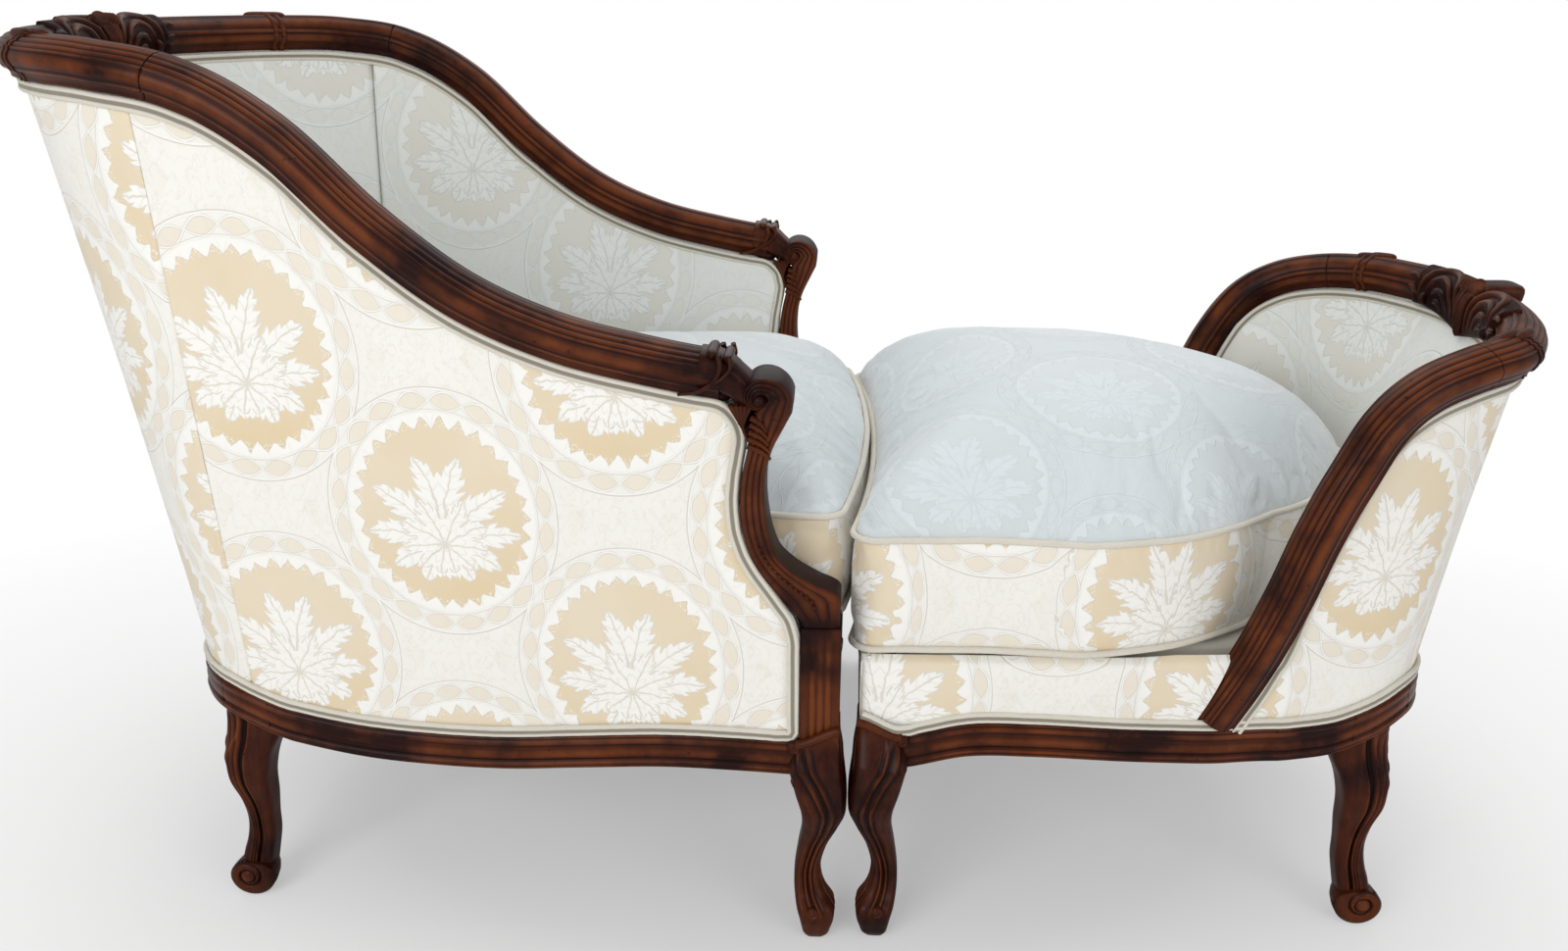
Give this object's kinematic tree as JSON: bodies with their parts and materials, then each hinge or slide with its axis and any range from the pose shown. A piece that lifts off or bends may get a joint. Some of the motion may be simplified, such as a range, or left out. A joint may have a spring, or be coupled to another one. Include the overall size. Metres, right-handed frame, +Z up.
{
  "type": "duchesse brisee",
  "caption": "Two-part daybed in a French carved style: a tub armchair with a long seat, and a matching footstool with a curved footboard, both with loose crowned cushions.",
  "frame": {"origin": "on the floor, at the middle of the whole object's footprint box", "axes": "+X from the chair's back to the ottoman's foot end, +Y to the sitter's left, +Z up"},
  "size_m": [1.688, 0.736, 0.9881],
  "materials": {
    "show_wood": "polished dark walnut with rubbed edges",
    "frame_wood": "planed beech",
    "cushion_damask": "woven damask, cream and pale gold",
    "cushion_piping": "piping covered in the damask",
    "wall_damask": "woven damask, cream and pale gold",
    "double_welt": "double welt covered in the damask",
    "deck_cloth": "plain platform cloth",
    "hessian": "jute hessian",
    "dust_cloth": "black dust cloth",
    "spring_steel": "bright drawn wire",
    "screw_steel": "zinc plated"
  },
  "bodies": {
    "chair": {"chair_arm_rail_left": "show_wood", "chair_arm_rail_right": "show_wood", "chair_arm_support_left": "show_wood", "chair_arm_support_right": "show_wood", "chair_back_posts": "frame_wood", "chair_back_rail": "show_wood", "chair_block_screws": "screw_steel", "chair_bottom_welt": "double_welt", "chair_corner_blocks": "frame_wood", "chair_crest_rail": "show_wood", "chair_deck_pad": "deck_cloth", "chair_dust_cover": "dust_cloth", "chair_front_border": "wall_damask", "chair_front_leg_left": "show_wood", "chair_front_leg_right": "show_wood", "chair_front_rail": "show_wood", "chair_hessian": "hessian", "chair_inner_welt": "double_welt", "chair_inside_pad_back": "wall_damask", "chair_inside_pad_left": "wall_damask", "chair_inside_pad_right": "wall_damask", "chair_outside_cover_back": "wall_damask", "chair_outside_cover_left": "wall_damask", "chair_outside_cover_right": "wall_damask", "chair_rear_leg_left": "show_wood", "chair_rear_leg_right": "show_wood", "chair_side_rail_left": "show_wood", "chair_side_rail_right": "show_wood", "chair_spring_clips": "spring_steel", "chair_springs": "spring_steel", "chair_top_welt": "double_welt"},
    "ottoman": {"ottoman_arm_rail_left": "show_wood", "ottoman_arm_rail_right": "show_wood", "ottoman_back_rail": "show_wood", "ottoman_block_screws": "screw_steel", "ottoman_bottom_welt": "double_welt", "ottoman_corner_blocks": "frame_wood", "ottoman_crest_rail": "show_wood", "ottoman_deck_pad": "deck_cloth", "ottoman_dust_cover": "dust_cloth", "ottoman_front_border": "wall_damask", "ottoman_front_leg_left": "show_wood", "ottoman_front_leg_right": "show_wood", "ottoman_front_rail": "show_wood", "ottoman_hessian": "hessian", "ottoman_inside_pad": "wall_damask", "ottoman_outside_cover": "wall_damask", "ottoman_rear_leg_left": "show_wood", "ottoman_rear_leg_right": "show_wood", "ottoman_side_band_left": "wall_damask", "ottoman_side_band_right": "wall_damask", "ottoman_side_rail_left": "show_wood", "ottoman_side_rail_right": "show_wood", "ottoman_spring_clips": "spring_steel", "ottoman_springs": "spring_steel"},
    "chair_cushion": {"chair_cushion": "cushion_damask", "chair_cushion_piping": "cushion_piping"},
    "ottoman_cushion": {"ottoman_cushion": "cushion_damask", "ottoman_cushion_piping": "cushion_piping"}
  },
  "joints": [
    {"name": "ottoman_pull_away", "type": "slide", "parent": "chair", "child": "ottoman", "axis": [1, 0, 0], "range_m": [0, 0.6]},
    {"name": "chair_cushion_lift", "type": "slide", "parent": "chair", "child": "chair_cushion", "axis": [0, 0, 1], "range_m": [0, 0.35]},
    {"name": "ottoman_cushion_lift", "type": "slide", "parent": "ottoman", "child": "ottoman_cushion", "axis": [0, 0, 1], "range_m": [0, 0.35]}
  ]
}
